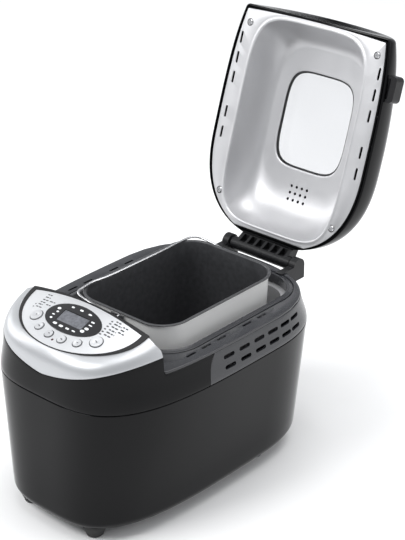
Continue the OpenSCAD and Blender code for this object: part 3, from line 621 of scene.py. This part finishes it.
def vent_grille(side, node):
    strip = []
    count = 60
    for i in range(count + 1):
        w = i / count
        strip.append((y_column(side, lambda z, w=w: vent_front(z) + (VENT_REAR - vent_front(z)) * w),
                      SEAM_Z, HOUSING_TOP))
    grille = wall_strip("vent_" + ("right" if side > 0 else "left"), strip)
    outlines = [[(y + a, z + b) for a, b in round_bar(19, 5)] for y in VENT_YS for z in VENT_ZS]
    slots = prisms("slots", outlines, lambda a, b, h: (side * h, a, b), 70, 150)
    cut(grille, slots)
    place(grille, "housing", "grey_moulding", [node])


def mouth_row(grow, level):
    return rounded_row(98 + grow, -90 - grow, 160 + grow, 45 + grow, level)


def deck_edge(inset, level, like):
    """The deck's outer edge, one point for each point of a mouth ring."""
    ring = []
    front = SPLIT_Y + 0.5 + inset
    for x, y, _ in like:
        t = math.atan2(y - MID_Y, x)
        px, py = outline_at(DECK_Z, inset, t)
        if py < front:
            shrink = (front - MID_Y) / (py - MID_Y)
            px, py = px * shrink, front
        ring.append((px, py, level))
    return ring


def side_slots(x, width):
    """The two rows of slots that the deck and the lid's liner share."""
    return [[(s * x + b, y + a) for a, b in round_bar(16, width)] for s in (-1, 1) for y in SLOT_YS]


def deck():
    like = mouth_row(0, 0)
    low = DECK_Z - 3
    rows = [deck_edge(0, low, like), deck_edge(0, DECK_Z - 1.2, like)]
    for t in quarter(4)[1:]:
        rows.append(deck_edge(1.2 * (1 - math.cos(t)), DECK_Z - 1.2 + 1.2 * math.sin(t), like))
    profile = [(9.4, 0), (8.9, -0.25), (8.5, -2.0), (7.4, -2.0), (7.2, -0.2), (6.7, 0.05), (3.2, 0.05),
               (2.5, 0.3), (2.2, 0.8), (1.6, 1.15), (0.9, 1.15), (0.3, 0.85), (0, 0.2), (0, -12),
               (2.2, -12), (2.2, -3)]
    rows += [mouth_row(g, DECK_Z + h) for g, h in profile]
    points, faces = skin(rows, wrap_rows=True)
    plate = new_object("deck_plate", points, faces, 50)
    slots = prisms("slots", side_slots(113, 3.2), lambda a, b, h: (a, b, h), DECK_Z - 8, DECK_Z + 5)
    cut(plate, slots, sharp=50)
    place(plate, "housing", "grey_moulding", ["deck"])


# ---- control panel pieces ----------------------------------------------

def on_panel(u, v, h):
    """Point at u across and v up the panel, h above its crown."""
    b = math.asin(u / PANEL_R)
    x = (PANEL_R + h) * math.sin(b)
    z = (PANEL_R + h) * math.cos(b) - PANEL_R
    return (x, PANEL_Y + v * math.cos(TILT) - z * math.sin(TILT),
            PANEL_Z + v * math.sin(TILT) + z * math.cos(TILT))


def bezel_section(s):
    sine = math.sin(math.pi / 2 * s)
    x = LIP_X * sine
    z = lip_at(x) + 0.35
    low = Vector((x, front_y(x, z), z))
    u = (FRAME_A + 0.3) * sine
    v = FRAME_V - (FRAME_B + 0.3) * math.cos(math.pi / 2 * s)
    high = Vector(on_panel(u, v, 0.5))
    out = Vector((low.x, low.y - MID_Y, 0)).normalized()
    normal = Vector((out.x * 0.82, out.y * 0.82, 0.57))
    steps = 16
    outer = []
    inner = []
    for i in range(steps + 1):
        w = i / steps
        middle = low.lerp(high, w)
        bulge = 4.5 * math.sin(math.pi * w)
        edge = min(1.0, min(w, 1 - w) * 14)
        outer.append(tuple(middle + normal * (bulge - 0.5 * (1 - edge) ** 2)))
        inner.append(tuple(middle + normal * (bulge - 2.2) + Vector((0, 0, 0.6 if w < 0.1 else 0))))
    return outer + inner[::-1]


def bezel():
    count = 120
    rows = [bezel_section(-1 + 2 * i / count) for i in range(count + 1)]
    points, faces = skin(rows)
    faces = mirror_caps(rows, faces)
    piece = new_object("bezel_band", points, faces, 50)
    block = prisms("block", [[(-200, SPLIT_Y - 0.2), (200, SPLIT_Y - 0.2), (200, 100), (-200, 100)]],
                   lambda a, b, h: (a, b, h), 150, 320)
    cut(piece, block, sharp=50)
    place(piece, "housing", "silver_trim", ["silver_bezel"])


LEFT_LIST = [(-64, -0.7, 10), (-64, 3.7, 8), (-64, 7.6, 9), (-64, 11.8, 10), (-63.6, 16.4, 9),
             (-63.6, 20.8, 8), (-52.4, 5.9, 8), (-51.8, 12, 10), (-68.4, -2.3, 2.4), (-68.4, 2.2, 2.4)]
RIGHT_LIST = [(49.3, 0.7, 10), (49.3, 5.2, 12), (49.3, 9.6, 11), (49, 14.6, 10), (49, 19.2, 12),
              (49, 23.2, 8), (61.6, 11.8, 9), (61.6, 16.2, 6), (61.6, 20.7, 8), (43.2, -1.2, 3.6),
              (43.2, 3.3, 3.6), (43.2, 7.8, 3.6), (43.2, 12.3, 3.6), (43.2, 16.8, 3.6), (43.2, 20.7, 3)]
LENS_MARKS = [(-29.5, 7.2, 5.5, 3.4), (-27.5, 2, 4, 2.4), (-29.4, -3.4, 4.5, 1.6), (-28.4, -9, 4, 2.6),
              (-16.5, -14.2, 6.6, 3), (-5.8, -14.9, 6.6, 3), (4.6, -14.8, 5.6, 2.4),
              (14.4, -14.4, 5.2, 1.8), (24, -9.3, 6, 4), (26.2, -3.9, 6, 3.4), (26.8, 2.2, 5.4, 1.6),
              (26.2, 7.4, 5.4, 2), (-13.9, 15.6, 4.6, 2.2), (0.2, 16, 5.6, 2.4), (14.6, 15.4, 5.4, 2.2)]


def dashes(rows, width=1.9):
    """Rows of short dashes that stand for a printed list: (across, up, length)."""
    outlines = []
    for row, (u, v, length) in enumerate(rows):
        at = 0.0
        k = row
        while at < length - 0.8:
            dash = min((4.4, 5.8, 3.4)[k % 3], length - at)
            outlines.append([(u + at + dash / 2 + a, v + b) for a, b in round_bar(dash, width, 3)])
            at += dash + 0.8
            k += 1
    return outlines


def print_marks():
    """Generic ink marks: dashed list rows, rings round the keys, blocks on the lens."""
    outlines = dashes(LEFT_LIST, 1.5) + dashes(RIGHT_LIST)
    for u, v, r in key_places():
        outlines += ring_strip(u, v, r + 0.35, 0.75)
    piece = prisms("panel_print", outlines, on_panel, 0.01, 0.05)
    place(piece, "housing", "display_black", materials="print_grey")
    glyphs = []
    for k, (u, v, r) in enumerate(key_places()):
        spots = [(-0.9, 0.5), (0.9, -0.4)] if k % 2 else [(0, 0.6)]
        glyphs += [[(u + a + c, v + b + d) for c, d in round_bar(2.6, 0.9, 3)] for a, b in spots]
    piece = prisms("key_print", glyphs, on_panel, KEY_TOP + 0.01, KEY_TOP + 0.05)
    place(piece, "housing", "display_black", materials="print_grey")
    outlines = [[(u + a, v + b) for a, b in round_bar(length, width, 4)]
                for u, v, length, width in LENS_MARKS]
    piece = prisms("lens_print", outlines, on_panel, 0.62, 0.66)
    place(piece, "housing", "display_cell", materials="print_white")


def key_places():
    return [(-50, -13.2, 7.6), (-31.5, -26.3, 5.3), (-10.5, -31, 5.3), (10.5, -31, 5.3),
            (31.5, -26.3, 5.3), (50, -13.2, 7.6)]


def ring_strip(u, v, r, width, count=48):
    """A thin ring as short bars, so that it can follow the crown."""
    outlines = []
    for i in range(count):
        t0 = 2 * math.pi * i / count
        t1 = 2 * math.pi * (i + 1) / count
        outlines.append([(u + q * math.cos(t), v + q * math.sin(t))
                         for q, t in ((r, t0), (r + width, t0), (r + width, t1), (r, t1))])
    return outlines


# ---- pan, bail ---------------------------------------------------------

def pan_row(inset, level):
    """Ring of the pan's wall at a height, set in from its outer face."""
    rise = (level - PAN_FLOOR) / (PAN_RIM - PAN_FLOOR)
    hx = PAN_HALF_X + PAN_FLARE * rise - inset
    hy = PAN_HALF_Y + PAN_FLARE * rise - inset
    r = PAN_CORNER + PAN_FLARE * rise - inset
    return rounded_row(hx, PAN_Y - hy, PAN_Y + hy, max(r, 4), level)


def pan():
    foot_r = 5.0
    rows = []
    for t in quarter(6):
        level = PAN_FLOOR + foot_r * (1 - math.cos(t))
        rows.append(pan_row(foot_r * (1 - math.sin(t)), level))
    for k in range(1, 7):
        level = PAN_FLOOR + foot_r + (PAN_RIM - 5.5 - PAN_FLOOR - foot_r) * k / 6
        rows.append(pan_row(0, level))
    rim_low = PAN_RIM - 2.6
    rows += [pan_row(0, rim_low - 0.6), pan_row(-0.4, rim_low - 0.1), pan_row(-1.2, rim_low)]
    for t in (-75, -45, -15, 15, 45, 75):
        a = math.radians(t)
        rows.append(pan_row(-1.8 - 1.15 * math.cos(a), PAN_RIM - 1.3 + 1.25 * math.sin(a)))
    rows += [pan_row(-1.2, PAN_RIM), pan_row(0.2, PAN_RIM - 0.1), pan_row(1.0, PAN_RIM - 0.7),
             pan_row(1.5, PAN_RIM - 2.0)]
    inner_r = 7.0
    low = PAN_FLOOR + 1.5
    for k in range(1, 7):
        level = PAN_RIM - 2 - (PAN_RIM - 2 - low - inner_r) * k / 6
        rows.append(pan_row(1.5, level))
    for t in quarter(6)[1:]:
        rows.append(pan_row(1.5 + inner_r * (1 - math.cos(t)), low + inner_r * (1 - math.sin(t))))
    count = len(rows[0])
    points, faces = skin(rows)
    faces.append(tuple(range(count)))
    faces.append(tuple((len(rows) - 1) * count + j for j in range(count)))
    piece = new_object("pan_shell", points, faces, 40)
    piece.data.materials.append(MATERIALS["pan_metal"])
    piece.data.materials.append(MATERIALS["pan_coat"])
    for polygon in piece.data.polygons:
        centre = polygon.center / MM
        level = centre.z
        rise = (level - PAN_FLOOR) / (PAN_RIM - PAN_FLOOR)
        inside = (abs(centre.x) < 71.7 + 5 * rise and abs(centre.y - PAN_Y) < 101.7 + 5 * rise
                  and level > PAN_FLOOR + 1)
        if inside and corner_inside(centre, rise) or level > PAN_RIM - 1.5:
            polygon.material_index = 1
    shafts = [[(4.05 * math.cos(t), y + 4.05 * math.sin(t)) for t in turns(32)] for y in SHAFT_YS]
    cut(piece, prisms("bores", shafts, lambda a, b, h: (a, b, h), 95, 120), sharp=40)
    place(piece, "pan", "pan_metal", ["bread_pan"])


def corner_inside(p, rise):
    """True inside the rounded corner of the pan's wall."""
    r = PAN_CORNER + PAN_FLARE * rise
    dx = abs(p.x) - (PAN_HALF_X + PAN_FLARE * rise - r)
    dy = abs(p.y - PAN_Y) - (PAN_HALF_Y + PAN_FLARE * rise - r)
    return dx < 0 or dy < 0 or math.hypot(dx, dy) < r - 0.4


SHAFT_YS = (-20.0, 90.0)
BAIL_Z = JOINTS["bail_swing"]["pos_m"][2] / MM
BAIL_HALF = 113.0
BAIL_PIN = 5.6
BAIL_TILT = math.radians(8)
WIRE_R = 1.5


def tube(name, path, radius, sides=16):
    """A round wire along a path of points, with closed ends."""
    rows = []
    points = [Vector(p) for p in path]
    side = None
    for i, p in enumerate(points):
        ahead = points[min(i + 1, len(points) - 1)]
        behind = points[max(i - 1, 0)]
        along = (ahead - behind).normalized()
        if side is None:
            side = along.orthogonal().normalized()
        side = (side - along * side.dot(along)).normalized()
        other = along.cross(side)
        rows.append([tuple(p + (side * math.cos(t) + other * math.sin(t)) * radius) for t in turns(sides)])
    net, faces = skin(rows, caps=True)
    return new_object(name, net, faces, 60)


def smooth_path(points, rounds=3):
    """Cuts the corners of a path again and again, so that it bends softly."""
    path = [Vector(p) for p in points]
    for _ in range(rounds):
        fresh = [path[0]]
        for a, b in zip(path, path[1:]):
            fresh += [a.lerp(b, 0.25), a.lerp(b, 0.75)]
        fresh.append(path[-1])
        path = fresh
    return path


def bail():
    """The wire handle, folded to the left, with the slight kinks of its grip."""
    end = BAIL_HALF
    flat = [(BAIL_PIN - end, 0), (-end, 0), (-end, 3), (-end, 30), (-end, 60), (-107, 71), (-95, 72),
            (-78, 74.5), (-66, 72.4), (-46, 70.6), (0, 70.6), (50, 70.6), (62, 71.4), (78, 72), (96, 72),
            (107, 69.5), (end, 58), (end, 30), (end, 3), (end, 0), (end - BAIL_PIN, 0)]
    path = []
    for along, reach in flat:
        path.append((-reach * math.cos(BAIL_TILT), PAN_Y + along, BAIL_Z + reach * math.sin(BAIL_TILT)))
    wire = tube("bail_wire", smooth_path(path, 3), WIRE_R)
    place(wire, "bail", "steel", ["bail_handle"])


# ---- lid ---------------------------------------------------------------

def lid_half_w(y):
    reach, n = (LID_REAR_REACH, 2.5) if y > MID_Y else (LID_FRONT_REACH, 3.2)
    return LID_HALF * max(0.0, 1 - (abs(y - MID_Y) / reach) ** n) ** (1 / n)


def lid_h(y):
    if y < 30:
        return LID_CROWN - (LID_CROWN - LID_FRONT_H) * ((y - 30) / (LID_FRONT - 30)) ** 2
    return LID_CROWN * math.sqrt(1 - ((y - 30) / 158) ** 3)


def bow(x, y):
    return 4 * (x / 116) ** 2 * max(0.0, 1 - (y - LID_FRONT) / 60)


def arch_n(y):
    """Squareness of the lid's arch, softer towards the front."""
    w = min(1.0, max(0.0, (y - LID_FRONT) / (30 - LID_FRONT)))
    return 2.8 + 0.8 * w ** 0.7


def arch(x, w, h, n):
    return h * (1 - min(abs(x) / w, 1) ** n) ** (1 / n)


def lid_row(y, inset, floor, lip=0.0):
    """Section of the lid at y; lip rounds its lower edge."""
    w = lid_half_w(y) - inset
    h = lid_h(y) - inset
    side = []
    if lip:
        for t in quarter(3):
            side.append((w - lip * (1 - math.sin(t)), floor + lip * (1 - math.cos(t))))
    else:
        side.append((w, floor))
    count = 26
    for i in range(1, count + 1):
        t = math.pi / 2 * (1 - i / count)
        x = w * math.sin(t)
        side.append((x, max(RIM_Z + arch(x, w, h, arch_n(y)), side[-1][1])))
    right = [(x, y + bow(x, y), z) for x, z in side]
    left = [(-x, yy, z) for x, yy, z in right[:-1]]
    return right + left[::-1]


def lid_solid(name, inset, floor, lip=0.0, round_r=0.0):
    y0 = LID_FRONT + inset
    y1 = LID_REAR - inset
    rows = []
    if round_r:
        for t in quarter(6):
            rows.append(lid_row(y0 + round_r * (1 - math.cos(t)), inset + round_r * (1 - math.sin(t)),
                                floor, lip))
    first = y0 + round_r
    count = 46
    for i in range(0 if not round_r else 1, count + 1):
        w = i / count
        w = w * 0.6 + 0.4 * math.sin(w * math.pi / 2)
        rows.append(lid_row(first + (y1 - first) * w, inset, floor, lip))
    points, faces = skin(rows)
    count = len(rows[0])
    for start in (0, (len(rows) - 1) * count):
        for j in range((count - 1) // 2 - 1):
            faces.append((start + j, start + j + 1, start + count - 2 - j, start + count - 1 - j))
        k = (count - 1) // 2
        faces.append((start + k - 1, start + k, start + k + 1))
    return new_object(name, points, faces, 40)


def window_outline(grow, count=96):
    a, b, n, cy = WINDOW
    points = []
    for t in turns(count):
        r = super_r(t, a + grow, b + grow, n)
        points.append((r * math.cos(t), cy + r * math.sin(t)))
    return points


def flat_point(a, b, h):
    return a, b, h


def lid_shell():
    shell = lid_solid("lid_cover", 0, RIM_Z, lip=1.3, round_r=5.0)
    cut(shell, lid_solid("inside", LID_WALL, RIM_Z - 5), sharp=40)
    cut(shell, prisms("window", [window_outline(PANE_REACH)], flat_point, 262, 330), sharp=40)
    lip = ring_piece("rim_lip", [(4.6, 0.15), (9, 0.15), (9, 2.4), (4.6, 2.4)])
    piece = join("lid_cover", [shell, lip])
    place(open_lid(piece), "lid", "black_gloss", ["lid_shell"])
    glass = lid_solid("lid_glass_outer", 0.4, RIM_Z)
    cut(glass, lid_solid("inside", LID_WALL - 0.2, RIM_Z - 5))
    cut(glass, prisms("window", [window_outline(PANE_REACH - 0.3)], flat_point, 262, 330), "INTERSECT")
    place(open_lid(glass), "lid", "clear_glass", ["lid_outer_glass"])


def window_gasket():
    """Rubber ring behind the inner pane, with a soft lip that shows at one side."""
    low = CEILING_Z + 2.4
    profile = [(3.5, 0), (3.5, 1.8), (-1.5, 1.8), (-2.1, 1.4), (-2.3, 0.9), (-2.1, 0.4), (-1.5, 0)]
    rows = [[(x, y, low + h) for x, y in window_outline(grow)] for grow, h in profile]
    points, faces = skin(rows, wrap_rows=True)
    place(open_lid(new_object("gasket_ring", points, faces)), "lid", "rubber", ["window_gasket"])


def screw_rings():
    """The shadow line round each liner screw's head."""
    places = [(s * x, y) for s in (-1, 1) for x, y in ((103.5, -88.2), (95, 139.7))]
    outlines = [bar for x, y in places for bar in ring_strip(x, y, 4.05, 0.9, 32)]
    face = RIM_Z - 1
    piece = prisms("screw_rings", outlines, flat_point, face - 0.06, face - 0.01)
    place(open_lid(piece), "lid", "rubber")


RECESS_Y = 34.0


def lid_angles():
    """Directions for the liner's net, with one through each sharp front corner."""
    corners = [math.atan2(y - RECESS_Y, x) % (2 * math.pi) for x, y in rim_corners(6.5)]
    return sorted(turns(240) + corners)


def rim_corners(inset):
    y = LID_FRONT + inset
    x = lid_half_w(y) - inset
    return [(x, y + bow(x, y)), (-x, y + bow(x, y))]


def rim_radius(t, inset):
    """Distance from the recess's middle to the lid's outline, in direction t."""
    low, high = 0.0, 260.0
    for _ in range(40):
        r = (low + high) / 2
        x = r * math.cos(t)
        y = RECESS_Y + r * math.sin(t)
        edge_y = LID_FRONT + inset + bow(x, LID_FRONT + inset)
        inside = edge_y <= y <= LID_REAR - inset and abs(x) <= max(lid_half_w(y) - inset, 0)
        low, high = (r, high) if inside else (low, r)
    return low


def rim_row(inset, level, angles):
    ring = []
    for t in angles:
        r = rim_radius(t, inset)
        ring.append((r * math.cos(t), RECESS_Y + r * math.sin(t), level))
    return ring


def ring_piece(name, profile):
    """Closed ring that follows the lid's outline: (inset, height) pairs."""
    angles = lid_angles()
    rows = [rim_row(inset, RIM_Z + h, angles) for inset, h in profile]
    points, faces = skin(rows, wrap_rows=True)
    return new_object(name, points, faces)


def recess_row(s, level, grow, angles):
    """Ring of the recess, s from 0 at its mouth to 1 at the edge of its ceiling."""
    a = 92.5 - 22 * s + grow
    front = 136 - 30 * s + grow
    rear = 136 - 58 * s ** 1.5 + grow
    ring = []
    for t in angles:
        reach = rear if math.sin(t) >= 0 else front
        r = super_r(t, a, reach, 5 - s)
        ring.append((r * math.cos(t), RECESS_Y + r * math.sin(t), level))
    return ring


def window_row(grow, level, angles):
    a, b, n, cy = WINDOW
    ring = []
    for t in angles:
        low, high = 0.0, 200.0
        for _ in range(36):
            r = (low + high) / 2
            x = r * math.cos(t)
            y = RECESS_Y + r * math.sin(t) - cy
            inside = (abs(x) / (a + grow)) ** n + (abs(y) / (b + grow)) ** n <= 1
            low, high = (r, high) if inside else (low, r)
        ring.append((low * math.cos(t), RECESS_Y + low * math.sin(t), level))
    return ring


def recess_profile():
    """(s, depth share) pairs: a steep wall, a soft shelf, then the ceiling."""
    return [(0.0, 0.02), (0.02, 0.07), (0.06, 0.16), (0.12, 0.29), (0.2, 0.43), (0.3, 0.56), (0.4, 0.67),
            (0.5, 0.77), (0.6, 0.85), (0.7, 0.91), (0.8, 0.955), (0.9, 0.985), (1.0, 1.0)]


def lid_liner():
    angles = lid_angles()
    face = RIM_Z - 1
    rows = [rim_row(6.5, RIM_Z - 0.1, angles), rim_row(6.5, face + 0.3, angles), rim_row(6.8, face, angles)]
    bead = [(6.0, 0), (4.6, 0), (3.8, -0.2), (3.0, -0.55), (2.2, -0.75), (1.4, -0.65), (0.7, -0.35),
            (0.2, 0.4)]
    rows += [recess_row(0, face + h, g, angles) for g, h in bead]
    rows += [recess_row(s, face + RECESS * d, 0, angles) for s, d in recess_profile()]
    ceiling = face + RECESS
    rows += [window_row(3.0, ceiling, angles), window_row(1.2, ceiling + 0.1, angles),
             window_row(0.2, ceiling + 0.5, angles), window_row(0, ceiling + 1, angles)]
    back = [recess_row(s, RIM_Z + RECESS * d, 1, angles) for s, d in reversed(recess_profile())]
    rows += back
    points, faces = skin(rows, wrap_rows=True)
    liner = new_object("lid_liner_sheet", points, faces, 50)
    cut(liner, prisms("slots", side_slots(112.5, 3.4), flat_point, RIM_Z - 5, RIM_Z + 5), sharp=50)
    holes = [[(-13 + 26 * k / 3 + 2 * math.cos(t), 112 + 9 * r + 2 * math.sin(t)) for t in turns(20)]
             for r in range(3) for k in range(4)]
    cut(liner, prisms("holes", holes, flat_point, CEILING_Z - 12, CEILING_Z + 8), sharp=50)
    place(open_lid(liner), "lid", "liner_metal", ["lid_liner"])


# ---- what the CAD already shapes ----------------------------------------

BEVELS = {
    "panel_frame": 0.5, "control_plate": 0.25, "display_lens": 0.2, "hinge_arm": 0.8, "hinge_brackets": 1.0,
    "lid_handle": 1.6, "rubber_feet": 0.8, "cord_gland": 0.6, "bail_ears": 0.3, "lid_screws": 0.2,
    "chamber_liner": 0.3, "pan_foot": 0.4, "pan_seat": 0.3, "front_paddle": 0.9, "rear_paddle": 0.9,
    "base_plate": 0.6, "motor_body": 0.8, "chassis_frame": 0.4,
    "button_program": 0.4, "button_weight": 0.35, "button_time_up": 0.35, "button_time_down": 0.35,
    "button_crust": 0.35, "button_start": 0.4, "front_drive_shaft": 0.4, "rear_drive_shaft": 0.4,
}


def dress_cad_nodes():
    """Gives every carried-over CAD node its material, and a soft edge where it shows."""
    slots = {s["node"]: s["material_slot"] for s in RECORD["subparts"]}
    for name, obj in NODES.items():
        if obj.hide_render:
            continue
        obj.data.materials.clear()
        obj.data.materials.append(MATERIALS[slots[name]])
        if name in BEVELS:
            bevel = obj.modifiers.new("edge", "BEVEL")
            bevel.width = BEVELS[name] * MM
            bevel.segments = 3
            bevel.limit_method = "ANGLE"
            bevel.angle_limit = math.radians(40)


make_camera()
MATERIALS = make_materials()
make_stage()
lower_housing()
upper_housing()
vent_grille(1, "vent_grille_right")
vent_grille(-1, "vent_grille_left")
deck()
bezel()
print_marks()
pan()
bail()
lid_shell()
screw_rings()
window_gasket()
lid_liner()
dress_cad_nodes()
